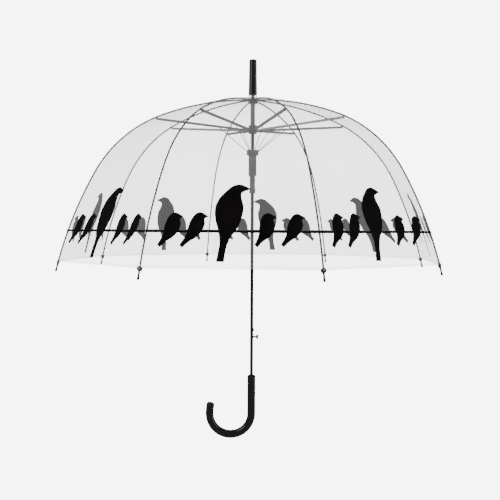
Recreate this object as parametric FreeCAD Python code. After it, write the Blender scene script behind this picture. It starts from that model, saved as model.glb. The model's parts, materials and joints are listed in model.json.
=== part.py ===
"""Clear bubble umbrella: stick shaft, crook handle, eight ribs and a dome of clear film.

Millimetres. The origin is the middle of the straight part of the handle, +Z runs up the
shaft, the crook opens towards -X and the release knob faces +X. The umbrella stands open.
"""
import FreeCAD, Part
import math
import os

# ---- driving dimensions -------------------------------------------------------------
RIB_COUNT = 8
FIRST_RIB_AZIMUTH = 17.0

# Rib profile on the outside of the film: three tangent arcs from the crown to the rim.
APEX_RADIUS = 8.0
APEX_HEIGHT = 639.4
APEX_SLOPE = 2.1
PROFILE_ARCS = ((570.2, 21.9), (276.4, 61.3), (815.0, 90.0))  # radius, slope at its end
RIM_HEIGHT = 291.0
FILM_THICKNESS = 0.6
FILM_INNER_RADIUS = 6.0
FILM_GAP = 0.2

# Shaft, handle and top.
SHAFT_RADIUS = 3.5
SHAFT_WALL = 0.5
SHAFT_BOTTOM = -30.0
SHAFT_TOP = 690.0
FIT = 0.05
HANDLE_RADIUS = 8.8
HANDLE_TOP = 40.2
HANDLE_CHAMFER = 2.0
CROOK_HEIGHT = -44.4
CROOK_RADIUS = 45.5
CROOK_LEAN_RADIUS = 100.0
CROOK_LEAN_ANGLE = 14.0
CROOK_END_ROUNDING = 5.0
FERRULE_BOTTOM = 648.4
FERRULE_TOP = 724.7
FERRULE_LOWER_RADIUS = 9.35
FERRULE_UPPER_RADIUS = 8.0
FERRULE_ROUNDING = 2.5
CAP_BOTTOM = 639.7
CAP_BRIM_RADIUS = 12.0
CAP_BRIM_HEIGHT = 1.6
CAP_RADIUS = 9.4

# Crown: a notched disc with a wire ring that the ribs hang on.
CROWN_RADIUS = 10.0
CROWN_BOTTOM = 630.0
CROWN_TOP = 638.4
CROWN_HUB_RADIUS = 4.8
CROWN_SLOT = 2.6
WIRE_RADIUS = 0.6
RIB_PIVOT_RADIUS = 7.5
STOP_SLEEVE_RADIUS = 4.9
STOP_SLEEVE_BOTTOM = 583.3

# Runner: the head carries the stretchers, the ring below the spring carries the links.
HEAD_RADIUS = 9.0
HEAD_BOTTOM = 565.0
HEAD_TOP = 583.0
HEAD_HUB_RADIUS = 4.8
HEAD_SLOT = 2.4
HEAD_PIVOT = (6.8, 571.6)
RING_RADIUS = 12.7
RING_BOTTOM = 518.3
RING_TOP = 529.4
RING_HUB_RADIUS = 8.9
RING_SLOT = 2.0
RING_PIVOT = (10.5, 524.2)
RUNNER_BORE = 3.6
SLEEVE_RADIUS = 8.6
SLEEVE_BOTTOM = 473.9
NECK_RADIUS = 5.8
NECK_BOTTOM = 447.2
FLANGE_RADIUS = 6.7
FLANGE_BOTTOM = 436.1
SPRING_WIRE = 0.8
SPRING_COIL_RADIUS = 5.2
SPRING_TURNS = 6.0

# Ribs, stretchers and links.
RIB_RADIUS = 1.6
RIB_EYE_RADIUS = 1.3
RIB_INSET = 2.6
RIB_BLADE = 2.0
RIB_BLADE_REACH = 14.0
JOINT_SLOPE = 24.5
JOINT_DROP = 4.0
TAB_WIDTH = 2.4
TAB_RADIUS = 1.8
TONGUE_WIDTH = 2.0
TONGUE_LENGTH = 10.0
CHANNEL_WIDTH = 4.6
CHANNEL_INSIDE = 3.4
CHANNEL_HEIGHT = 4.4
CHANNEL_WEB = 0.5
CHANNEL_BLOCK = 4.0
FORK_LENGTH = 32.0
LINK_PIVOT_ON_STRETCHER = 69.5
LINK_WINDOW = (34.0, 6.0)
LINK_RADIUS = 0.8
EYE_RADIUS = 1.5
LINK_EYE_RADIUS = 1.3
EYE_HOLE = 0.72
RIVET_HOLE = 0.85

# Rib tips.
COLLAR_RADIUS = 4.5
COLLAR_THICKNESS = 4.6
COLLAR_RECESS_RADIUS = 2.2
COLLAR_RECESS_DEPTH = 0.4
STEM_RADIUS = 1.8
TIP_BALL_RADIUS = 2.4
TIP_LENGTH = 20.1
TIP_BORE_DEPTH = 7.6
RIB_END_BEYOND_RIM = 7.0
NOTCH_GAP = 0.3

# Release catch in the shaft.
KNOB_HEIGHT = 123.8
KNOB_RADIUS = 5.0
KNOB_FACE = 14.5
KNOB_THICKNESS = 4.5
KNOB_STEM_RADIUS = 2.0
CATCH_BOTTOM = 136.2
CATCH_TOP = 144.6
CATCH_REACH = 6.4
CATCH_WIDTH = 2.0
LEAF_INNER = 1.2
LEAF_OUTER = 2.2
LEAF_WIDTH = 2.4
LEAF_BOTTOM = 118.0
LEAF_TOP = 149.0
WINDOW_GAP = 0.2

# ---- derived ------------------------------------------------------------------------
RIB_PITCH = 360.0 / RIB_COUNT
HALF_PITCH = RIB_PITCH / 2.0
ORIGIN = FreeCAD.Vector(0, 0, 0)
X_AXIS = FreeCAD.Vector(1, 0, 0)
Y_AXIS = FreeCAD.Vector(0, 1, 0)
Z_AXIS = FreeCAD.Vector(0, 0, 1)


def sin(degrees):
    return math.sin(math.radians(degrees))


def cos(degrees):
    return math.cos(math.radians(degrees))


# ---- rib profile: every place on it is named by its slope in degrees -------------------
def profile_arcs():
    """The arcs as (centre radius, centre height, arc radius, first slope, last slope)."""
    arcs = []
    r, z, slope = APEX_RADIUS, APEX_HEIGHT, APEX_SLOPE
    for radius, end_slope in PROFILE_ARCS:
        centre_r = r - radius * sin(slope)
        centre_z = z - radius * cos(slope)
        arcs.append((centre_r, centre_z, radius, slope, end_slope))
        slope = end_slope
        r = centre_r + radius * sin(slope)
        z = centre_z + radius * cos(slope)
    return arcs


ARCS = profile_arcs()


def profile_point(slope, inset):
    """Radius and height of the profile, moved inwards by inset."""
    arc = next((a for a in ARCS if slope <= a[4]), ARCS[-1])
    centre_r, centre_z, radius = arc[:3]
    return centre_r + (radius - inset) * sin(slope), centre_z + (radius - inset) * cos(slope)


def slope_at_radius(r, inset):
    """Slope on the crown arc where the inset profile has this radius."""
    centre_r, _, radius = ARCS[0][:3]
    return math.degrees(math.asin((r - centre_r) / (radius - inset)))


def slope_at_height(z):
    """Slope on the last arc where the outer profile has this height."""
    _, centre_z, radius = ARCS[-1][:3]
    return math.degrees(math.acos((z - centre_z) / radius))


RIM_SLOPE = slope_at_height(RIM_HEIGHT)
RIB_END_SLOPE = RIM_SLOPE + math.degrees(RIB_END_BEYOND_RIM / PROFILE_ARCS[-1][0])
RIB_PIVOT = profile_point(slope_at_radius(RIB_PIVOT_RADIUS, RIB_INSET), RIB_INSET)
RIB_JOINT = profile_point(JOINT_SLOPE, RIB_INSET + JOINT_DROP)


# ---- small shape helpers ----------------------------------------------------------------
def cylinder(radius, bottom, top):
    return Part.makeCylinder(radius, top - bottom, FreeCAD.Vector(0, 0, bottom), Z_AXIS)


def cone(lower_radius, upper_radius, bottom, top):
    base = FreeCAD.Vector(0, 0, bottom)
    return Part.makeCone(lower_radius, upper_radius, top - bottom, base, Z_AXIS)


def box(x, y, z):
    """A box between the low and high value on each axis."""
    corner = FreeCAD.Vector(x[0], y[0], z[0])
    return Part.makeBox(x[1] - x[0], y[1] - y[0], z[1] - z[0], corner)


def cross_pin(radius, width, x=0.0, z=0.0):
    """A cylinder of this width along Y, centred on the plane Y = 0."""
    return Part.makeCylinder(radius, width, FreeCAD.Vector(x, -width / 2.0, z), Y_AXIS)


def lengthwise_pin(radius, start, end):
    """A cylinder along X."""
    return Part.makeCylinder(radius, end - start, FreeCAD.Vector(start, 0, 0), X_AXIS)


def ring(radius, wire_radius, height):
    return Part.makeTorus(radius, wire_radius, FreeCAD.Vector(0, 0, height), Z_AXIS)


def turned(shape, azimuth):
    return shape.rotated(ORIGIN, Z_AXIS, azimuth)


def laid(shape, point, slope):
    """Turn a shape's +X down by this slope in the plane Y = 0, and move it to a point."""
    placed = shape.rotated(ORIGIN, Y_AXIS, slope)
    return placed.translated(FreeCAD.Vector(point[0], 0, point[1]))


def slots(inner, outer, width, bottom, top):
    """One radial slot at each rib."""
    slot = box((inner, outer), (-width / 2.0, width / 2.0), (bottom, top))
    azimuths = [FIRST_RIB_AZIMUTH + RIB_PITCH * k for k in range(RIB_COUNT)]
    return Part.makeCompound([turned(slot, azimuth) for azimuth in azimuths])


def bar_between(start, end):
    """Length and downward slope of the straight line between two (radius, height) points."""
    dr = end[0] - start[0]
    dz = end[1] - start[1]
    return math.hypot(dr, dz), math.degrees(math.atan2(-dz, dr))


def fillet_at(shape, centre, radius):
    """Round the circular edge whose centre of mass is here."""
    edges = [e for e in shape.Edges if (e.CenterOfMass - centre).Length < 0.01]
    return shape.makeFillet(radius, edges)


# ---- root pieces ------------------------------------------------------------------------
def shaft_tube():
    tube = cylinder(SHAFT_RADIUS, SHAFT_BOTTOM, SHAFT_TOP)
    tube = tube.cut(cylinder(SHAFT_RADIUS - SHAFT_WALL, SHAFT_BOTTOM, SHAFT_TOP))
    stem_hole = lengthwise_pin(KNOB_STEM_RADIUS + WINDOW_GAP, 1.0, SHAFT_RADIUS + 1.0)
    tube = tube.cut(stem_hole.translated(FreeCAD.Vector(0, 0, KNOB_HEIGHT)))
    half = CATCH_WIDTH / 2.0 + WINDOW_GAP
    heights = (CATCH_BOTTOM - WINDOW_GAP, CATCH_TOP + WINDOW_GAP)
    return tube.cut(box((1.0, SHAFT_RADIUS + 1.0), (-half, half), heights))


def crook_handle():
    grip = cylinder(HANDLE_RADIUS, CROOK_HEIGHT, HANDLE_TOP - HANDLE_CHAMFER)
    rim = HANDLE_TOP - HANDLE_CHAMFER
    grip = grip.fuse(cone(HANDLE_RADIUS, HANDLE_RADIUS - HANDLE_CHAMFER, rim, HANDLE_TOP))
    section = Part.Face(Part.Wire(Part.makeCircle(HANDLE_RADIUS, ORIGIN, Z_AXIS)))
    start = section.translated(FreeCAD.Vector(0, 0, CROOK_HEIGHT))
    bend_centre = FreeCAD.Vector(-CROOK_RADIUS, 0, CROOK_HEIGHT)
    bend = start.revolve(bend_centre, Y_AXIS, 180)
    far = section.translated(FreeCAD.Vector(-2.0 * CROOK_RADIUS, 0, CROOK_HEIGHT))
    lean_centre_x = CROOK_LEAN_RADIUS - 2.0 * CROOK_RADIUS
    lean_centre = FreeCAD.Vector(lean_centre_x, 0, CROOK_HEIGHT)
    lean = far.revolve(lean_centre, Y_AXIS, CROOK_LEAN_ANGLE)
    handle = grip.fuse([bend, lean]).removeSplitter()
    end_x = lean_centre_x - CROOK_LEAN_RADIUS * cos(CROOK_LEAN_ANGLE)
    end_z = CROOK_HEIGHT + CROOK_LEAN_RADIUS * sin(CROOK_LEAN_ANGLE)
    handle = fillet_at(handle, FreeCAD.Vector(end_x, 0, end_z), CROOK_END_ROUNDING)
    return handle.cut(cylinder(SHAFT_RADIUS + FIT, SHAFT_BOTTOM - FIT, HANDLE_TOP))


def ferrule():
    body = cone(FERRULE_LOWER_RADIUS, FERRULE_UPPER_RADIUS, FERRULE_BOTTOM, FERRULE_TOP)
    body = fillet_at(body, FreeCAD.Vector(0, 0, FERRULE_TOP), FERRULE_ROUNDING)
    return body.cut(cylinder(SHAFT_RADIUS + FIT, FERRULE_BOTTOM, SHAFT_TOP + FIT))


def apex_cap():
    brim_top = CAP_BOTTOM + CAP_BRIM_HEIGHT
    cap = cylinder(CAP_BRIM_RADIUS, CAP_BOTTOM, brim_top)
    cap = cap.fuse(cone(CAP_BRIM_RADIUS, CAP_RADIUS, brim_top, brim_top + CAP_BRIM_HEIGHT))
    cap = cap.fuse(cylinder(CAP_RADIUS, brim_top + CAP_BRIM_HEIGHT, FERRULE_BOTTOM))
    cap = cap.removeSplitter()
    return cap.cut(cylinder(SHAFT_RADIUS + FIT, CAP_BOTTOM, FERRULE_BOTTOM))


def crown_notch():
    crown = cylinder(CROWN_RADIUS, CROWN_BOTTOM, CROWN_TOP)
    crown = crown.cut(cylinder(SHAFT_RADIUS + FIT, CROWN_BOTTOM, CROWN_TOP))
    reach = CROWN_RADIUS + 1.0
    crown = crown.cut(slots(CROWN_HUB_RADIUS, reach, CROWN_SLOT, CROWN_BOTTOM, CROWN_TOP))
    return crown.cut(ring(RIB_PIVOT[0], WIRE_RADIUS + FIT, RIB_PIVOT[1]))


def crown_wire():
    return ring(RIB_PIVOT[0], WIRE_RADIUS, RIB_PIVOT[1])


def stop_sleeve():
    sleeve = cylinder(STOP_SLEEVE_RADIUS, STOP_SLEEVE_BOTTOM, CROWN_BOTTOM)
    return sleeve.cut(cylinder(SHAFT_RADIUS + FIT, STOP_SLEEVE_BOTTOM, CROWN_BOTTOM))


# ---- runner ---------------------------------------------------------------------------------
def runner_head():
    head = cylinder(HEAD_RADIUS, HEAD_BOTTOM, HEAD_TOP)
    head = head.cut(cylinder(RUNNER_BORE, HEAD_BOTTOM, HEAD_TOP))
    reach = HEAD_RADIUS + 1.0
    head = head.cut(slots(HEAD_HUB_RADIUS, reach, HEAD_SLOT, HEAD_BOTTOM, HEAD_TOP))
    return head.fuse(ring(HEAD_PIVOT[0], WIRE_RADIUS, HEAD_PIVOT[1]))


def runner_ring():
    collar = cylinder(RING_RADIUS, RING_BOTTOM, RING_TOP)
    collar = collar.cut(cylinder(RUNNER_BORE, RING_BOTTOM, RING_TOP))
    reach = RING_RADIUS + 1.0
    collar = collar.cut(slots(RING_HUB_RADIUS, reach, RING_SLOT, RING_BOTTOM, RING_TOP))
    return collar.fuse(ring(RING_PIVOT[0], WIRE_RADIUS, RING_PIVOT[1]))


def runner_sleeve():
    sleeve = cylinder(SLEEVE_RADIUS, SLEEVE_BOTTOM, RING_BOTTOM)
    sleeve = sleeve.fuse(cylinder(NECK_RADIUS, NECK_BOTTOM, SLEEVE_BOTTOM))
    sleeve = sleeve.fuse(cylinder(FLANGE_RADIUS, FLANGE_BOTTOM, NECK_BOTTOM))
    return sleeve.cut(cylinder(RUNNER_BORE, FLANGE_BOTTOM, RING_BOTTOM))


def drive_spring():
    bottom = RING_TOP + SPRING_WIRE / 2.0 + FIT
    height = HEAD_BOTTOM - SPRING_WIRE / 2.0 - FIT - bottom
    helix = Part.makeHelix(height / SPRING_TURNS, height, SPRING_COIL_RADIUS)
    start = FreeCAD.Vector(SPRING_COIL_RADIUS, 0, 0)
    section = Part.Wire(Part.makeCircle(SPRING_WIRE / 2.0, start, Y_AXIS))
    coil = Part.Wire(helix.Edges).makePipeShell([section], True, True)
    return coil.translated(FreeCAD.Vector(0, 0, bottom))


# ---- release catch --------------------------------------------------------------------------
def trigger_catch():
    half_leaf = LEAF_WIDTH / 2.0
    half_nose = CATCH_WIDTH / 2.0
    leaf = box((LEAF_INNER, LEAF_OUTER), (-half_leaf, half_leaf), (LEAF_BOTTOM, LEAF_TOP))
    stem = lengthwise_pin(KNOB_STEM_RADIUS, LEAF_INNER + 0.2, KNOB_FACE - 1.0)
    stem = stem.common(box((LEAF_INNER, KNOB_FACE), (-2.0, 2.0), (-2.0, 2.0)))
    knob = lengthwise_pin(KNOB_RADIUS, KNOB_FACE - KNOB_THICKNESS, KNOB_FACE)
    knob = fillet_at(knob, FreeCAD.Vector(KNOB_FACE, 0, 0), 1.2)
    raise_to_knob = FreeCAD.Vector(0, 0, KNOB_HEIGHT)
    outline = (
        (LEAF_INNER + 0.2, CATCH_BOTTOM),
        (CATCH_REACH, CATCH_BOTTOM),
        (SHAFT_RADIUS, CATCH_TOP),
        (LEAF_INNER + 0.2, CATCH_TOP),
    )
    corners = [FreeCAD.Vector(x, -half_nose, z) for x, z in outline]
    nose = Part.Face(Part.makePolygon(corners + corners[:1]))
    nose = nose.extrude(FreeCAD.Vector(0, CATCH_WIDTH, 0))
    pieces = [stem.translated(raise_to_knob), knob.translated(raise_to_knob), nose]
    return leaf.fuse(pieces)


# ---- ribs and tips --------------------------------------------------------------------------
def rib_rod():
    """The round rod, one revolved piece for each arc of the profile."""
    first_slope = slope_at_radius(RIB_BLADE_REACH, RIB_INSET)
    pieces = []
    for centre_r, centre_z, _, start, end in ARCS:
        start = max(start, first_slope)
        end = min(end, RIB_END_SLOPE)
        r, z = profile_point((start + end) / 2.0, RIB_INSET)
        middle = FreeCAD.Vector(r, 0, z)
        tangent = FreeCAD.Vector(cos((start + end) / 2.0), 0, -sin((start + end) / 2.0))
        section = Part.Face(Part.Wire(Part.makeCircle(RIB_RADIUS, middle, tangent)))
        centre = FreeCAD.Vector(centre_r, 0, centre_z)
        section = section.rotated(centre, Y_AXIS, (start - end) / 2.0)
        pieces.append(section.revolve(centre, Y_AXIS, end - start))
    return pieces[0].fuse(pieces[1:])


def rib():
    blade_length = RIB_BLADE_REACH + 1.0 - RIB_PIVOT[0]
    half = RIB_BLADE / 2.0
    blade = box((0, blade_length), (-half, half), (-RIB_EYE_RADIUS, RIB_EYE_RADIUS))
    blade = blade.fuse(cross_pin(RIB_EYE_RADIUS, RIB_BLADE))
    blade = laid(blade, RIB_PIVOT, slope_at_radius(RIB_PIVOT[0], RIB_INSET))
    tab = box((-TAB_RADIUS, TAB_RADIUS), (-TAB_WIDTH / 2.0, TAB_WIDTH / 2.0), (-JOINT_DROP, 0))
    tab = tab.fuse(cross_pin(TAB_RADIUS, TAB_WIDTH, 0, -JOINT_DROP))
    tab = tab.cut(cross_pin(RIVET_HOLE, TAB_WIDTH, 0, -JOINT_DROP))
    tab = laid(tab, profile_point(JOINT_SLOPE, RIB_INSET), JOINT_SLOPE)
    whole = rib_rod().fuse([blade, tab])
    eye = cross_pin(EYE_HOLE, 2.0 * RIB_BLADE, RIB_PIVOT[0], RIB_PIVOT[1])
    return whole.cut(eye)


def tip():
    """Collar and stem, made along +X from the collar's centre, then laid on the rib's end."""
    half = COLLAR_THICKNESS / 2.0
    collar = cylinder(COLLAR_RADIUS, -half, half)
    collar = collar.cut(cylinder(COLLAR_RECESS_RADIUS, half - COLLAR_RECESS_DEPTH, half))
    stem_end = TIP_LENGTH - TIP_BALL_RADIUS
    root = COLLAR_RADIUS - 1.5
    stem = Part.makeCone(half, STEM_RADIUS, 3.0, FreeCAD.Vector(root, 0, 0), X_AXIS)
    neck = lengthwise_pin(STEM_RADIUS, root + 3.0, stem_end - 6.0)
    swell_start = FreeCAD.Vector(stem_end - 6.0, 0, 0)
    swell = Part.makeCone(STEM_RADIUS, TIP_BALL_RADIUS, 6.0, swell_start, X_AXIS)
    ball = Part.makeSphere(TIP_BALL_RADIUS, FreeCAD.Vector(stem_end, 0, 0))
    whole = collar.fuse([stem, neck, swell, ball])
    whole = whole.cut(lengthwise_pin(RIB_RADIUS + FIT, -COLLAR_RADIUS - 1.0, TIP_BORE_DEPTH))
    return laid(whole, profile_point(RIM_SLOPE, RIB_INSET), RIM_SLOPE)


# ---- stretchers and links -------------------------------------------------------------------
def stretcher():
    """A channel open towards the rib, made along +X from its pivot on the runner head."""
    length, slope = bar_between(HEAD_PIVOT, RIB_JOINT)
    half_tongue = TONGUE_WIDTH / 2.0
    half_width = CHANNEL_WIDTH / 2.0
    half_inside = CHANNEL_INSIDE / 2.0
    half_height = CHANNEL_HEIGHT / 2.0
    reach = TONGUE_LENGTH + CHANNEL_BLOCK
    tongue = box((0, reach), (-half_tongue, half_tongue), (-EYE_RADIUS, EYE_RADIUS))
    tongue = tongue.fuse(cross_pin(EYE_RADIUS, TONGUE_WIDTH))
    channel = box((TONGUE_LENGTH, length), (-half_width, half_width), (-half_height, half_height))
    channel = channel.fuse(cross_pin(half_height, CHANNEL_WIDTH, length))
    inside = (-half_inside, half_inside)
    trough = box((reach, length + 3.0), inside, (CHANNEL_WEB - half_height, 3.0))
    channel = channel.cut(trough)
    channel = channel.cut(box((length - FORK_LENGTH, length + 3.0), inside, (-3.0, 0)))
    window = (LINK_PIVOT_ON_STRETCHER - LINK_WINDOW[0], LINK_PIVOT_ON_STRETCHER + LINK_WINDOW[1])
    channel = channel.cut(box(window, inside, (-3.0, 0)))
    bar = channel.fuse(tongue)
    for x, radius in ((0, EYE_HOLE), (LINK_PIVOT_ON_STRETCHER, RIVET_HOLE), (length, RIVET_HOLE)):
        bar = bar.cut(cross_pin(radius, 2.0 * CHANNEL_WIDTH, x))
    return laid(bar, HEAD_PIVOT, slope)


def link_pivot():
    """Where the link meets the stretcher."""
    _, slope = bar_between(HEAD_PIVOT, RIB_JOINT)
    along = LINK_PIVOT_ON_STRETCHER
    return HEAD_PIVOT[0] + along * cos(slope), HEAD_PIVOT[1] - along * sin(slope)


def link():
    """A wire with an eye at each end, from the runner ring up to the stretcher."""
    length, slope = bar_between(RING_PIVOT, link_pivot())
    wire = lengthwise_pin(LINK_RADIUS, 1.0, length - 1.0)
    for x in (0, length):
        wire = wire.fuse(cross_pin(LINK_EYE_RADIUS, 2.0 * LINK_RADIUS, x))
    for x in (0, length):
        wire = wire.cut(cross_pin(EYE_HOLE, 4.0 * LINK_RADIUS, x))
    return laid(wire, RING_PIVOT, slope)


# ---- film -----------------------------------------------------------------------------------
def chord_curve(inset):
    """The film between two ribs is straight across, so its middle is a narrowed profile."""
    first = slope_at_radius(FILM_INNER_RADIUS, 0)
    stops = [first] + [arc[4] for arc in ARCS[:-1]] + [RIM_SLOPE]
    points = []
    steps = 6
    for start, end in zip(stops, stops[1:]):
        for step in range(steps):
            slope = start + (end - start) * step / steps
            r, z = profile_point(slope, inset)
            points.append(FreeCAD.Vector(r * cos(HALF_PITCH), 0, z))
    r, z = profile_point(RIM_SLOPE, inset)
    points.append(FreeCAD.Vector(r * cos(HALF_PITCH), 0, z))
    curve = Part.BSplineCurve()
    curve.interpolate(points)
    return curve.toShape(), points[0], points[-1]


def film_half():
    """Half a gore on the +Y side of a rib lying along +X, cut to the rib and the pleat line."""
    outer, outer_top, outer_rim = chord_curve(0)
    inner, inner_top, inner_rim = chord_curve(FILM_THICKNESS)
    ends = [Part.makeLine(outer_rim, inner_rim), Part.makeLine(inner_top, outer_top)]
    band = Part.Face(Part.Wire(Part.__sortEdges__([outer, inner] + ends)))
    width = 2.0 * outer_rim.x
    sheet = band.translated(FreeCAD.Vector(0, -width / 2.0, 0))
    sheet = sheet.extrude(FreeCAD.Vector(0, width, 0)).rotated(ORIGIN, Z_AXIS, HALF_PITCH)
    far = 2.0 * outer_rim.x
    near = FILM_GAP / sin(HALF_PITCH) + FILM_GAP / math.tan(math.radians(HALF_PITCH))
    slack = FILM_GAP / cos(HALF_PITCH)
    pleat_y = far * math.tan(math.radians(HALF_PITCH)) - slack
    corners = [
        FreeCAD.Vector(near, FILM_GAP, 0),
        FreeCAD.Vector(far, FILM_GAP, 0),
        FreeCAD.Vector(far, pleat_y, 0),
    ]
    wedge = Part.Face(Part.makePolygon(corners + corners[:1]))
    wedge = wedge.extrude(FreeCAD.Vector(0, 0, CAP_BOTTOM + 10.0))
    sheet = sheet.common(wedge)
    notch = cylinder(COLLAR_RADIUS + NOTCH_GAP, -10.0, 10.0)
    return sheet.cut(laid(notch, profile_point(RIM_SLOPE, RIB_INSET), RIM_SLOPE))


# ---- write the pieces -----------------------------------------------------------------------
def single_pieces():
    return {
        "shaft_tube": shaft_tube(),
        "crook_handle": crook_handle(),
        "ferrule": ferrule(),
        "apex_cap": apex_cap(),
        "crown_notch": crown_notch(),
        "crown_wire": crown_wire(),
        "stop_sleeve": stop_sleeve(),
        "runner_head": runner_head(),
        "runner_ring": runner_ring(),
        "runner_sleeve": runner_sleeve(),
        "drive_spring": drive_spring(),
        "trigger_catch": trigger_catch(),
    }


def repeated_pieces():
    """One of each piece for every rib, turned about the shaft."""
    left = film_half()
    right = left.mirror(ORIGIN, Y_AXIS)
    patterns = {
        "rib_{}": rib(),
        "tip_{}": tip(),
        "stretcher_{}": stretcher(),
        "link_{}": link(),
        "film_{}_left": left,
        "film_{}_right": right,
    }
    pieces = {}
    for k in range(RIB_COUNT):
        azimuth = FIRST_RIB_AZIMUTH + RIB_PITCH * k
        for name, shape in patterns.items():
            pieces[name.format(k + 1)] = turned(shape, azimuth)
    return pieces


def main():
    os.makedirs("parts", exist_ok=True)
    pieces = single_pieces()
    pieces.update(repeated_pieces())
    for name, shape in pieces.items():
        solid = shape.Solids[0] if len(shape.Solids) == 1 else shape
        solid.exportStep("parts/" + name + ".step")


main()
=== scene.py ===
"""Looks of the clear bubble umbrella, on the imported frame. Metres."""
import bmesh
import bpy
import json
import math
from mathutils import Matrix, Vector


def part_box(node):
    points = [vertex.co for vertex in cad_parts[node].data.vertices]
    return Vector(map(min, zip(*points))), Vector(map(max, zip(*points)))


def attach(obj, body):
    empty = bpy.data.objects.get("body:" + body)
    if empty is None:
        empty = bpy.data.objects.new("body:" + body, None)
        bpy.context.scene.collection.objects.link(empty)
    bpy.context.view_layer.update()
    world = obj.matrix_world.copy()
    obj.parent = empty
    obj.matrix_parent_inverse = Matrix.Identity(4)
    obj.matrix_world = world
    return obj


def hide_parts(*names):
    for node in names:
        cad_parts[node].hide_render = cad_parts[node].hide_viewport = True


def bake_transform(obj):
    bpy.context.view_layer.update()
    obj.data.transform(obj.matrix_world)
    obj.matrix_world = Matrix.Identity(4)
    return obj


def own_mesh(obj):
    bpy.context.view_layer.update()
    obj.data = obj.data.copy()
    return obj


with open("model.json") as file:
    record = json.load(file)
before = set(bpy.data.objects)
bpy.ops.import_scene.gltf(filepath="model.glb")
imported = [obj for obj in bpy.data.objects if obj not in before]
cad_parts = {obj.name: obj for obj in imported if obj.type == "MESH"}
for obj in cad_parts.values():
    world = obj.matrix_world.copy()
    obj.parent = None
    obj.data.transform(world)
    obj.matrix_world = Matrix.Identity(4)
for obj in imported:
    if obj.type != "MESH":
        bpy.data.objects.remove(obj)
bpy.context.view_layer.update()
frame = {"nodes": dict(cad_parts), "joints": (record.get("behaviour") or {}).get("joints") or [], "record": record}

# ---- driving dimensions, in metres and degrees -------------------------------------------
RIB_COUNT = 8
FIRST_RIB_AZIMUTH = 17.0
RIB_PITCH = 360.0 / RIB_COUNT
HALF_PITCH = RIB_PITCH / 2.0

# The rib profile on the outside of the film: tangent arcs as (radius, slope at the end).
APEX_RADIUS = 0.0080
APEX_HEIGHT = 0.6394
APEX_SLOPE = 2.1
PROFILE_ARCS = ((0.5702, 21.9), (0.2764, 61.3), (0.8150, 90.0))
RIM_HEIGHT = 0.2910
FILM_TOP_RADIUS = 0.0060
FILM_INSET = 0.0003
RIB_INSET = 0.0026
COLLAR_RISE = 0.0010
COLLAR_BLEND = 0.012
COLLAR_REACH = 0.555
FILM_RIPPLE = 0.0009
RIPPLE_WAVES = 9.0
RIPPLE_SHIFT = 2.0
RIPPLE_SWELL = 3.0
FILM_COLUMNS = 14
FILM_ROWS = (16, 16, 20)
INK_LIFT = 0.0003

# Rivets through the stretcher's cheeks: the rib joint, and the link's place along the bar.
JOINT_SLOPE = 24.5
JOINT_INSET = 0.0066
LINK_PIVOT_ON_STRETCHER = 0.0695
CHEEK_OFFSET = 0.0023
RIVET_RADIUS = 0.0013
RIVET_HEIGHT = 0.0006

# The eyelet in the collar's recess.
EYELET_RISE = 0.0019
EYELET_RADIUS = 0.0018
EYELET_HEIGHT = 0.0007

# Where the film's pleat starts, measured sideways from the rib.
PLEAT_START = 0.030
PLEAT_WIDTH = 0.161
PLEAT_LEAN = 0.5

# The drive spring's wire and turns, and its material.
SPRING_WIRE = 0.0008
SPRING_TURNS = 6
SPRING_SLOT = "zinc_steel"

# The printed wire and birds, in the plane of a gore, with the feet on the wire.
WIRE_HEIGHT = 0.3545
WIRE_THICKNESS = 0.0042
WIRE_STEPS = 24
MILLIMETRE = 0.001
BAND = 0.006
BANDS_BELOW = 10
BANDS_ABOVE = 16
TALL_BIRD = (
    (-17, -50), (-17, -50), (-4, -50), (-4, -50), (-2, -28), (4, -10), (14, 6), (20, 24),
    (22, 42), (18, 56), (17, 66), (22, 70), (32, 74), (32, 74), (23, 79), (14, 82.5),
    (3, 80), (-7, 71), (-18, 58), (-24, 40), (-22, 20), (-16, 0), (-13, -20),
)
SMALL_BIRD = (
    (-19, -22), (-19, -22), (-14, -27), (-14, -27), (-5, -17), (6, -9), (13, 1), (15.5, 13),
    (13.5, 21), (19.5, 25), (19.5, 25), (13, 29), (5, 32.5), (-2, 29.5), (-7, 21),
    (-10, 9), (-11, -3), (-14, -13),
)
# One gore's birds: outline, place across the gore, size, lean to the right.
FLOCK = (
    (SMALL_BIRD, -0.107, 1.08, 0.05),
    (SMALL_BIRD, -0.066, 1.10, 0.12),
    (TALL_BIRD, -0.006, 1.08, 0.02),
    (SMALL_BIRD, 0.058, 1.05, -0.06),
    (SMALL_BIRD, 0.105, 1.02, 0.04),
)

# Film sheen: how fast it grows towards the edge of the dome, its share there and face on.
SHEEN_POWER = 4.0
SHEEN_EDGE = 0.40
SHEEN_FACE = 0.025

# Camera.
CAMERA_DISTANCE = 1.697
CAMERA_HEIGHT = 0.3608
CAMERA_LENS = 56.2
CAMERA_PITCH = 1.61
CAMERA_YAW = 0.15
CAMERA_ROLL = 0.29

# Light: how bright the pale backdrop looks, and how much light it gives the object.
BACKDROP_SEEN = 7.0
BACKDROP_LIGHT = 0.45
WORLD_LIGHT = 0.40


def sin(degrees):
    return math.sin(math.radians(degrees))


def cos(degrees):
    return math.cos(math.radians(degrees))


# ---- rib profile -----------------------------------------------------------------------------
def profile_arcs():
    """The arcs as (centre radius, centre height, arc radius, first slope, last slope)."""
    arcs = []
    r, z, slope = APEX_RADIUS, APEX_HEIGHT, APEX_SLOPE
    for radius, end_slope in PROFILE_ARCS:
        centre_r = r - radius * sin(slope)
        centre_z = z - radius * cos(slope)
        arcs.append((centre_r, centre_z, radius, slope, end_slope))
        slope = end_slope
        r = centre_r + radius * sin(slope)
        z = centre_z + radius * cos(slope)
    return arcs


ARCS = profile_arcs()


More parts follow.
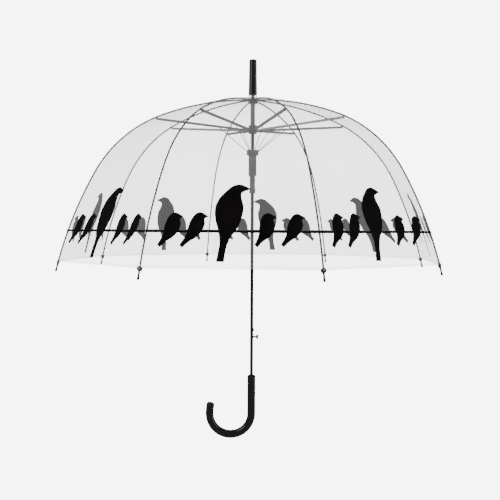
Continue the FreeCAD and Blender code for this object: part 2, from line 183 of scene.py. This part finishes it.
def profile_point(slope, inset):
    """Radius and height of the profile, moved inwards by inset."""
    arc = next((a for a in ARCS if slope <= a[4]), ARCS[-1])
    centre_r, centre_z, radius = arc[:3]
    return centre_r + (radius - inset) * sin(slope), centre_z + (radius - inset) * cos(slope)


def slope_at_height(z):
    """Slope on the last arc where the outer profile has this height."""
    _, centre_z, radius = ARCS[-1][:3]
    return math.degrees(math.acos((z - centre_z) / radius))


def top_slope():
    centre_r, _, radius = ARCS[0][:3]
    return math.degrees(math.asin((FILM_TOP_RADIUS - centre_r) / radius))


RIM_SLOPE = slope_at_height(RIM_HEIGHT)
WIRE_SLOPE = slope_at_height(WIRE_HEIGHT)


def rib_azimuth(number):
    return FIRST_RIB_AZIMUTH + RIB_PITCH * (number - 1)


def turned(point, azimuth):
    return Matrix.Rotation(math.radians(azimuth), 3, "Z") @ Vector(point)


# ---- materials ---------------------------------------------------------------------------------
def new_material(name):
    material = bpy.data.materials.new(name)
    material.use_nodes = True
    tree = material.node_tree
    tree.nodes.clear()
    output = tree.nodes.new("ShaderNodeOutputMaterial")
    return material, tree, output


def noise(tree, scale, detail=4.0, stretch=(1, 1, 1)):
    """Noise in the piece's own coordinates."""
    coordinates = tree.nodes.new("ShaderNodeTexCoord")
    mapping = tree.nodes.new("ShaderNodeMapping")
    mapping.inputs["Scale"].default_value = stretch
    texture = tree.nodes.new("ShaderNodeTexNoise")
    texture.inputs["Scale"].default_value = scale
    texture.inputs["Detail"].default_value = detail
    tree.links.new(coordinates.outputs["Object"], mapping.inputs["Vector"])
    tree.links.new(mapping.outputs["Vector"], texture.inputs["Vector"])
    return texture.outputs["Fac"]


def spread(tree, value, low, high):
    """Map a 0 to 1 value to a range."""
    node = tree.nodes.new("ShaderNodeMapRange")
    node.inputs["From Min"].default_value = 0.3
    node.inputs["From Max"].default_value = 0.7
    node.inputs["To Min"].default_value = low
    node.inputs["To Max"].default_value = high
    tree.links.new(value, node.inputs["Value"])
    return node.outputs["Result"]


def shades(tree, value, dark, light):
    """Map a 0 to 1 value to a colour between two."""
    ramp = tree.nodes.new("ShaderNodeValToRGB")
    ramp.color_ramp.elements[0].position = 0.3
    ramp.color_ramp.elements[0].color = (*dark, 1)
    ramp.color_ramp.elements[1].position = 0.7
    ramp.color_ramp.elements[1].color = (*light, 1)
    tree.links.new(value, ramp.inputs["Fac"])
    return ramp.outputs["Color"]


def bump(tree, value, strength, distance):
    node = tree.nodes.new("ShaderNodeBump")
    node.inputs["Strength"].default_value = strength
    node.inputs["Distance"].default_value = distance
    tree.links.new(value, node.inputs["Height"])
    return node.outputs["Normal"]


def solid_material(name, dark, light, rough, metallic, grain, relief, coat=0.0, shine=0.5,
                   stretch=(1, 1, 1)):
    """An opaque material whose shade, gloss and surface all vary a little."""
    material, tree, output = new_material(name)
    shader = tree.nodes.new("ShaderNodeBsdfPrincipled")
    shader.inputs["Metallic"].default_value = metallic
    shader.inputs["Coat Weight"].default_value = coat
    shader.inputs["Specular IOR Level"].default_value = shine
    shader.inputs["Coat Roughness"].default_value = 0.08
    broad = noise(tree, grain, 3.0, stretch)
    fine = noise(tree, grain * 4.0, 2.0, stretch)
    tree.links.new(shades(tree, broad, dark, light), shader.inputs["Base Color"])
    tree.links.new(spread(tree, fine, rough[0], rough[1]), shader.inputs["Roughness"])
    tree.links.new(bump(tree, fine, 0.04, relief), shader.inputs["Normal"])
    tree.links.new(shader.outputs["BSDF"], output.inputs["Surface"])
    return material


def gloss_black():
    return solid_material("black_plastic", (0.004, 0.004, 0.004), (0.009, 0.0085, 0.0085),
                          (0.14, 0.20), 0.0, 14.0, 0.00002, coat=0.1, shine=0.3)


def enamel_black():
    return solid_material("black_enamel", (0.004, 0.004, 0.005), (0.010, 0.010, 0.011),
                          (0.26, 0.36), 0.0, 30.0, 0.00002, coat=0.05, shine=0.25)


def zinc_steel():
    return solid_material("zinc_steel", (0.30, 0.31, 0.33), (0.48, 0.49, 0.51),
                          (0.28, 0.48), 0.85, 120.0, 0.00003, stretch=(1, 1, 0.2))


def grey_plastic():
    return solid_material("grey_plastic", (0.15, 0.165, 0.18), (0.21, 0.225, 0.24),
                          (0.35, 0.50), 0.0, 70.0, 0.00004, coat=0.15)


def printed_ink():
    return solid_material("printed_ink", (0.004, 0.003, 0.003), (0.009, 0.007, 0.006),
                          (0.70, 0.80), 0.0, 40.0, 0.00001, shine=0.05)


def veil_shader(tree, haze, gloss_rough, body, normal=None):
    """Clear plastic: what is behind shows through, under a thin milky veil and a sheen.

    haze is the socket with the veil's share, body the veil's grey.
    """
    clear = tree.nodes.new("ShaderNodeBsdfTransparent")
    clear.inputs["Color"].default_value = (0.985, 0.99, 0.988, 1)
    front = tree.nodes.new("ShaderNodeBsdfDiffuse")
    front.inputs["Color"].default_value = (*body, 1)
    back = tree.nodes.new("ShaderNodeBsdfTranslucent")
    back.inputs["Color"].default_value = (*body, 1)
    milky = tree.nodes.new("ShaderNodeMixShader")
    milky.inputs["Fac"].default_value = 0.5
    tree.links.new(front.outputs[0], milky.inputs[1])
    tree.links.new(back.outputs[0], milky.inputs[2])
    veiled = tree.nodes.new("ShaderNodeMixShader")
    tree.links.new(haze, veiled.inputs["Fac"])
    tree.links.new(clear.outputs[0], veiled.inputs[1])
    tree.links.new(milky.outputs[0], veiled.inputs[2])
    sheen = tree.nodes.new("ShaderNodeBsdfGlossy")
    sheen.inputs["Color"].default_value = (0.9, 0.92, 0.93, 1)
    sheen.inputs["Roughness"].default_value = gloss_rough
    facing = tree.nodes.new("ShaderNodeLayerWeight")
    facing.inputs["Blend"].default_value = 0.5
    steep = tree.nodes.new("ShaderNodeMath")
    steep.operation = "POWER"
    steep.inputs[1].default_value = SHEEN_POWER
    tree.links.new(facing.outputs["Facing"], steep.inputs[0])
    share = tree.nodes.new("ShaderNodeMath")
    share.operation = "MULTIPLY_ADD"
    share.inputs[1].default_value = SHEEN_EDGE
    share.inputs[2].default_value = SHEEN_FACE
    tree.links.new(steep.outputs[0], share.inputs[0])
    whole = tree.nodes.new("ShaderNodeMixShader")
    tree.links.new(share.outputs[0], whole.inputs["Fac"])
    tree.links.new(veiled.outputs[0], whole.inputs[1])
    tree.links.new(sheen.outputs[0], whole.inputs[2])
    if normal:
        for node in (front, back, sheen, facing):
            tree.links.new(normal, node.inputs["Normal"])
    return whole.outputs[0]


def edge_band(tree, channel, low, high):
    """1 where the film's own coordinate is past high, 0 before low."""
    uv = tree.nodes.new("ShaderNodeUVMap")
    uv.uv_map = "film"
    split = tree.nodes.new("ShaderNodeSeparateXYZ")
    tree.links.new(uv.outputs["UV"], split.inputs["Vector"])
    node = tree.nodes.new("ShaderNodeMapRange")
    node.inputs["From Min"].default_value = low
    node.inputs["From Max"].default_value = high
    tree.links.new(split.outputs[channel], node.inputs["Value"])
    return node.outputs["Result"]


def total(tree, first, second, weight):
    """first + second times weight."""
    node = tree.nodes.new("ShaderNodeMath")
    node.operation = "MULTIPLY_ADD"
    node.inputs[1].default_value = weight
    tree.links.new(second, node.inputs[0])
    tree.links.new(first, node.inputs[2])
    return node.outputs[0]


def clear_film():
    """Haze grows at the hem, the rib welds and towards the crown."""
    material, tree, output = new_material("clear_film")
    broad = noise(tree, 7.0, 3.0)
    haze = spread(tree, broad, 0.29, 0.34)
    haze = total(tree, haze, edge_band(tree, "Y", 0.9905, 0.992), 0.10)
    haze = total(tree, haze, edge_band(tree, "X", 0.020, 0.016), 0.04)
    haze = total(tree, haze, edge_band(tree, "Y", 0.35, 0.0), 0.05)
    ripple = bump(tree, noise(tree, 22.0, 2.0, (1, 1, 0.4)), 0.12, 0.002)
    surface = veil_shader(tree, haze, 0.16, (0.50, 0.505, 0.51), ripple)
    tree.links.new(surface, output.inputs["Surface"])
    return material


def clear_plastic():
    material, tree, output = new_material("clear_plastic")
    haze = spread(tree, noise(tree, 160.0, 4.0), 0.26, 0.36)
    relief = bump(tree, noise(tree, 900.0, 4.0), 0.1, 0.00004)
    surface = veil_shader(tree, haze, 0.12, (0.55, 0.56, 0.57), relief)
    tree.links.new(surface, output.inputs["Surface"])
    return material


MATERIALS = {
    "black_plastic": gloss_black(),
    "black_enamel": enamel_black(),
    "zinc_steel": zinc_steel(),
    "grey_plastic": grey_plastic(),
    "clear_plastic": clear_plastic(),
    "clear_film": clear_film(),
}
INK = printed_ink()


def paint_cad_nodes():
    for entry in frame["record"]["subparts"]:
        node = frame["nodes"][entry["node"]]
        node.data.materials.clear()
        node.data.materials.append(MATERIALS[entry["material_slot"]])


# ---- building helpers --------------------------------------------------------------------------
def make_object(name, mesh, material):
    mesh.materials.append(material)
    piece = bpy.data.objects.new(name, mesh)
    bpy.context.scene.collection.objects.link(piece)
    return piece


def smooth(mesh):
    mesh.polygons.foreach_set("use_smooth", [True] * len(mesh.polygons))


def bend_with_film(piece, number, side):
    """The piece's placement is baked into its mesh; the ends of the half gore's pleat are worked out but not used.
    """
    azimuth = rib_azimuth(number)
    sign = 1.0 if side == "left" else -1.0
    gradient = Vector((0, sign / PLEAT_WIDTH, -PLEAT_LEAN))
    start = Vector((0, sign * PLEAT_START, APEX_HEIGHT))
    end = start + gradient / gradient.length_squared
    turned(start, azimuth)
    turned(end, azimuth)
    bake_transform(piece)


# ---- film ----------------------------------------------------------------------------------------
def film_lift(across, along, r):
    """Outward shift of the film: slack ripples between the ribs, a rise over the collar."""
    from_rib = across * r * sin(HALF_PITCH)
    to_rim = (1.0 - along) * COLLAR_REACH
    near = math.hypot(from_rib, to_rim)
    rise = COLLAR_RISE * max(0.0, 1.0 - near / COLLAR_BLEND)
    slack = math.sin(math.pi * min(1.0, across)) ** 2
    waves = math.sin(RIPPLE_WAVES * along + RIPPLE_SHIFT) ** 2 * math.sin(RIPPLE_SWELL * along)
    return rise - FILM_RIPPLE * slack * waves


def film_slopes():
    """Slopes from the crown to the rim, evenly spread over each arc."""
    stops = [top_slope()] + [arc[4] for arc in ARCS[:-1]] + [RIM_SLOPE]
    slopes = []
    for start, end, steps in zip(stops, stops[1:], FILM_ROWS):
        slopes += [start + (end - start) * step / steps for step in range(steps)]
    return slopes + [RIM_SLOPE]


def film_mesh(name, number, side):
    azimuth = rib_azimuth(number)
    sign = 1.0 if side == "left" else -1.0
    slopes = film_slopes()
    points = [profile_point(slope, FILM_INSET) for slope in slopes]
    lengths = [0.0]
    for (r0, z0), (r1, z1) in zip(points, points[1:]):
        lengths.append(lengths[-1] + math.hypot(r1 - r0, z1 - z0))
    vertices, uvs = [], []
    for slope, (r, z), length in zip(slopes, points, lengths):
        along = length / lengths[-1]
        for column in range(FILM_COLUMNS + 1):
            across = column / FILM_COLUMNS
            lift = film_lift(across, along, r)
            x = r * (1.0 - across * sin(HALF_PITCH) ** 2)
            y = sign * across * r * cos(HALF_PITCH) * sin(HALF_PITCH)
            outward = Vector((sin(slope) * cos(HALF_PITCH), sign * sin(slope) * sin(HALF_PITCH),
                              cos(slope)))
            place = Vector((x, y, z)) + outward * lift
            vertices.append(turned(place, azimuth))
            uvs.append((across, along))
    faces = []
    width = FILM_COLUMNS + 1
    for row in range(len(slopes) - 1):
        for column in range(FILM_COLUMNS):
            a = row * width + column
            corners = (a, a + width, a + width + 1, a + 1)
            faces.append(corners if sign > 0 else corners[::-1])
    mesh = bpy.data.meshes.new(name)
    mesh.from_pydata(vertices, [], faces)
    layer = mesh.uv_layers.new(name="film")
    for loop in mesh.loops:
        layer.data[loop.index].uv = uvs[loop.vertex_index]
    smooth(mesh)
    flat_width = points[-1][0] * sin(HALF_PITCH)
    area = sum(0.5 * (points[i][0] + points[i + 1][0]) * sin(HALF_PITCH)
               * (lengths[i + 1] - lengths[i]) for i in range(len(points) - 1))
    return mesh, flat_width, lengths[-1], area


def build_film(number, side):
    name = f"clear_gore_{number}_{side}"
    mesh, width, length, area = film_mesh(name, number, side)
    piece = make_object(name, mesh, MATERIALS["clear_film"])
    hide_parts(f"film_{number}_{side}")
    bend_with_film(piece, number, side)


# ---- print ---------------------------------------------------------------------------------------
def smooth_outline(points, steps=5):
    """A closed curve through the points; a point given twice is a sharp corner."""
    outline = []
    count = len(points)
    for i in range(count):
        p0, p1, p2, p3 = (Vector(points[(i + k - 1) % count]) for k in range(4))
        if (p1 - p2).length < 1e-9:
            continue
        for step in range(steps):
            t = step / steps
            a = 2.0 * p1 + (p2 - p0) * t
            b = (2.0 * p0 - 5.0 * p1 + 4.0 * p2 - p3) * t * t
            c = (3.0 * p1 - p0 - 3.0 * p2 + p3) * t * t * t
            outline.append(0.5 * (a + b + c))
    return outline


def bird_outline(points, place, size, lean):
    outline = smooth_outline(points)
    scale = MILLIMETRE * size
    return [Vector((place + (p.x + lean * p.y) * scale, p.y * scale)) for p in outline]


def wire_outline():
    """The wire's strip across the whole gore."""
    half = WIRE_THICKNESS / 2.0
    r, _ = profile_point(WIRE_SLOPE, 0.0)
    reach = r * sin(HALF_PITCH)
    xs = [reach * (2.0 * step / WIRE_STEPS - 1.0) for step in range(WIRE_STEPS + 1)]
    return [Vector((x, -half)) for x in xs] + [Vector((x, half)) for x in reversed(xs)]


def on_gore(point, gore_azimuth):
    """A point of the print's plane, laid on the outside of a gore."""
    slope = WIRE_SLOPE - math.degrees(point.y / ARCS[-1][2])
    r, z = profile_point(slope, -INK_LIFT)
    return turned((r * cos(HALF_PITCH), point.x, z), gore_azimuth)


def cut_to_bands(shape, side):
    """Keep one half of the gore, and cut it into bands so that it can follow the curve."""
    sign = 1.0 if side == "left" else -1.0
    geometry = shape.verts[:] + shape.edges[:] + shape.faces[:]
    bmesh.ops.bisect_plane(shape, geom=geometry, plane_co=(0, 0, 0), plane_no=(sign, 0, 0),
                           clear_outer=True)
    for step in range(-BANDS_BELOW, BANDS_ABOVE):
        geometry = shape.verts[:] + shape.edges[:] + shape.faces[:]
        bmesh.ops.bisect_plane(shape, geom=geometry, plane_co=(0, step * BAND, 0),
                               plane_no=(0, 1, 0))


def build_print(number, side):
    """The printed wire and birds on one half gore."""
    shape = bmesh.new()
    outlines = [wire_outline()] + [bird_outline(*bird) for bird in FLOCK]
    layers = []
    for outline in outlines:
        layer = bmesh.new()
        layer.faces.new([layer.verts.new((p.x, p.y, 0)) for p in outline])
        cut_to_bands(layer, side)
        bmesh.ops.triangulate(layer, faces=layer.faces[:])
        layers.append(layer)
    gore = rib_azimuth(number) + (HALF_PITCH if side == "left" else -HALF_PITCH)
    for layer in layers:
        copies = {v: shape.verts.new(on_gore(v.co, gore)) for v in layer.verts}
        for face in layer.faces:
            shape.faces.new([copies[v] for v in face.verts])
        layer.free()
    bmesh.ops.recalc_face_normals(shape, faces=shape.faces[:])
    name = f"print_{number}_{side}"
    mesh = bpy.data.meshes.new(name)
    shape.to_mesh(mesh)
    shape.free()
    piece = make_object(name, mesh, INK)
    bend_with_film(piece, number, side)


# ---- rivets --------------------------------------------------------------------------------------
def dome(shape, centre, axis, radius, height, segments=20, rings=5):
    """A shallow domed rivet head standing on a surface at centre, along axis."""
    axis = Vector(axis).normalized()
    across = axis.orthogonal().normalized()
    other = axis.cross(across)
    rows = []
    for ring in range(rings):
        angle = 90.0 * ring / rings
        rows.append([shape.verts.new(centre + axis * height * sin(angle)
                                     + (across * cos(360.0 * k / segments)
                                        + other * sin(360.0 * k / segments)) * radius * cos(angle))
                     for k in range(segments)])
    tip = shape.verts.new(centre + axis * height)
    for low, high in zip(rows, rows[1:]):
        for k in range(segments):
            n = (k + 1) % segments
            shape.faces.new((low[k], low[n], high[n], high[k]))
    for k in range(segments):
        shape.faces.new((rows[-1][k], rows[-1][(k + 1) % segments], tip))
    shape.faces.new(rows[0][::-1])


def joint_of(name):
    return next(j for j in frame["joints"] if j["name"] == name)


def rivet_piece(name, heads, body, material):
    """heads are (centre, axis, radius, height)."""
    shape = bmesh.new()
    for centre, axis, radius, height in heads:
        dome(shape, centre, axis, radius, height)
    mesh = bpy.data.meshes.new(name)
    shape.to_mesh(mesh)
    shape.free()
    smooth(mesh)
    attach(make_object(name, mesh, material), body)


def stretcher_rivets(number):
    """The heads of the two rivets that pass through each stretcher's cheeks."""
    azimuth = rib_azimuth(number)
    pivot = turned(joint_of(f"stretcher_{number}_turn")["pos_m"], -azimuth)
    r, z = profile_point(JOINT_SLOPE, JOINT_INSET)
    outer = Vector((r, 0, z))
    along = (outer - pivot).normalized()
    heads = []
    for place in (outer, pivot + along * LINK_PIVOT_ON_STRETCHER):
        for sign in (1.0, -1.0):
            centre = turned(place + Vector((0, sign * CHEEK_OFFSET, 0)), azimuth)
            heads.append((centre, turned((0, sign, 0), azimuth), RIVET_RADIUS,
                          RIVET_HEIGHT))
    rivet_piece(f"stretcher_rivets_{number}", heads, f"stretcher_{number}",
                MATERIALS["zinc_steel"])


def collar_eyelet(number):
    """The metal eyelet in the collar's recess."""
    azimuth = rib_azimuth(number)
    r, z = profile_point(RIM_SLOPE, RIB_INSET - EYELET_RISE)
    centre = turned((r, 0, z), azimuth)
    axis = turned((sin(RIM_SLOPE), 0, cos(RIM_SLOPE)), azimuth)
    heads = [(centre, axis, EYELET_RADIUS, EYELET_HEIGHT)]
    rivet_piece(f"collar_eyelet_{number}", heads, f"rib_{number}", MATERIALS["zinc_steel"])


# ---- drive spring --------------------------------------------------------------------------------
def drive_spring():
    """The coil between the ring and the head, carried by the runner head."""
    low, high = (Vector(corner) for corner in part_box("drive_spring"))
    coil_radius = (high.x - low.x) / 2.0 - SPRING_WIRE / 2.0
    bottom, top = low.z + SPRING_WIRE / 2.0, high.z - SPRING_WIRE / 2.0
    steps, sides = 36 * SPRING_TURNS, 10
    shape = bmesh.new()
    rings = []
    for step in range(steps + 1):
        turn = 360.0 * SPRING_TURNS * step / steps
        outward = Vector((cos(turn), sin(turn), 0))
        centre = outward * coil_radius + Vector((0, 0, bottom + (top - bottom) * step / steps))
        rings.append([shape.verts.new(centre + (outward * cos(360.0 * k / sides)
                                                + Vector((0, 0, sin(360.0 * k / sides))))
                                      * SPRING_WIRE / 2.0) for k in range(sides)])
    for one, other in zip(rings, rings[1:]):
        for k in range(sides):
            n = (k + 1) % sides
            shape.faces.new((one[k], other[k], other[n], one[n]))
    shape.faces.new(rings[0])
    shape.faces.new(rings[-1][::-1])
    bmesh.ops.recalc_face_normals(shape, faces=shape.faces[:])
    mesh = bpy.data.meshes.new("spring_coil")
    shape.to_mesh(mesh)
    shape.free()
    smooth(mesh)
    piece = make_object("spring_coil", mesh, MATERIALS[SPRING_SLOT])
    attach(piece, "runner_head")
    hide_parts("drive_spring")
    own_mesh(piece)


# ---- stage ---------------------------------------------------------------------------------------
def seen_and_lit(tree, kind, seen_strength, lit_strength):
    """A pale glow that looks brighter than the light it gives, so that it stays white."""
    shaders = []
    for strength in (lit_strength, seen_strength):
        shader = tree.nodes.new(kind)
        shader.inputs["Color"].default_value = (1, 1, 1, 1)
        shader.inputs["Strength"].default_value = strength
        shaders.append(shader)
    path = tree.nodes.new("ShaderNodeLightPath")
    both = tree.nodes.new("ShaderNodeMixShader")
    tree.links.new(path.outputs["Is Camera Ray"], both.inputs["Fac"])
    tree.links.new(shaders[0].outputs[0], both.inputs[1])
    tree.links.new(shaders[1].outputs[0], both.inputs[2])
    return both.outputs[0]


def pale_material():
    material, tree, output = new_material("pale_backdrop")
    both = seen_and_lit(tree, "ShaderNodeEmission", BACKDROP_SEEN, BACKDROP_LIGHT)
    tree.links.new(both, output.inputs["Surface"])
    return material


def backdrop():
    """A floor that sweeps up behind the object."""
    floor, wall, bend, reach, top = -0.45, 2.6, 1.0, 7.0, 5.0
    outline = [(-6.0, floor)]
    for step in range(13):
        angle = 7.5 * step
        outline.append((wall + bend * sin(angle), floor + bend - bend * cos(angle)))
    outline.append((wall + bend, top))
    vertices = [(x, y, z) for x in (-reach, reach) for y, z in outline]
    count = len(outline)
    faces = [(i, i + count, i + count + 1, i + 1) for i in range(count - 1)]
    mesh = bpy.data.meshes.new("backdrop")
    mesh.from_pydata(vertices, [], faces)
    mesh.materials.append(pale_material())
    smooth(mesh)
    sweep = bpy.data.objects.new("backdrop", mesh)
    bpy.context.scene.collection.objects.link(sweep)


def area_light(name, place, target, size, power):
    data = bpy.data.lights.new(name, "AREA")
    data.shape = "RECTANGLE"
    data.size, data.size_y = size
    data.energy = power
    lamp = bpy.data.objects.new(name, data)
    lamp.location = place
    lamp.rotation_euler = (Vector(target) - Vector(place)).to_track_quat("-Z", "Y").to_euler()
    bpy.context.scene.collection.objects.link(lamp)


def lights():
    world = bpy.data.worlds.new("soft_white")
    world.use_nodes = True
    tree = world.node_tree
    tree.nodes.clear()
    output = tree.nodes.new("ShaderNodeOutputWorld")
    both = seen_and_lit(tree, "ShaderNodeBackground", BACKDROP_SEEN, WORLD_LIGHT)
    tree.links.new(both, output.inputs["Surface"])
    bpy.context.scene.world = world
    middle = (0, 0, 0.35)
    area_light("key_light", (-1.7, -1.3, 1.7), middle, (0.7, 1.6), 26.0)
    area_light("side_light", (1.9, -0.6, 0.6), middle, (0.3, 1.8), 12.0)


def camera():
    data = bpy.data.cameras.new("camera")
    data.lens = CAMERA_LENS
    data.sensor_width = 36.0
    data.dof.use_dof = False
    body = bpy.data.objects.new("camera", data)
    body.location = (0, -CAMERA_DISTANCE, CAMERA_HEIGHT)
    tilt = Matrix.Rotation(math.radians(90.0 - CAMERA_PITCH), 4, "X")
    yaw = Matrix.Rotation(math.radians(CAMERA_YAW), 4, "Z")
    roll = Matrix.Rotation(math.radians(CAMERA_ROLL), 4, "Z")
    body.rotation_euler = (yaw @ tilt @ roll).to_euler()
    bpy.context.scene.collection.objects.link(body)
    bpy.context.scene.camera = body


# ---- put it together -----------------------------------------------------------------------------
paint_cad_nodes()
for rib_number in range(1, RIB_COUNT + 1):
    stretcher_rivets(rib_number)
    collar_eyelet(rib_number)
    for half in ("left", "right"):
        build_film(rib_number, half)
        build_print(rib_number, half)
drive_spring()
backdrop()
lights()
camera()
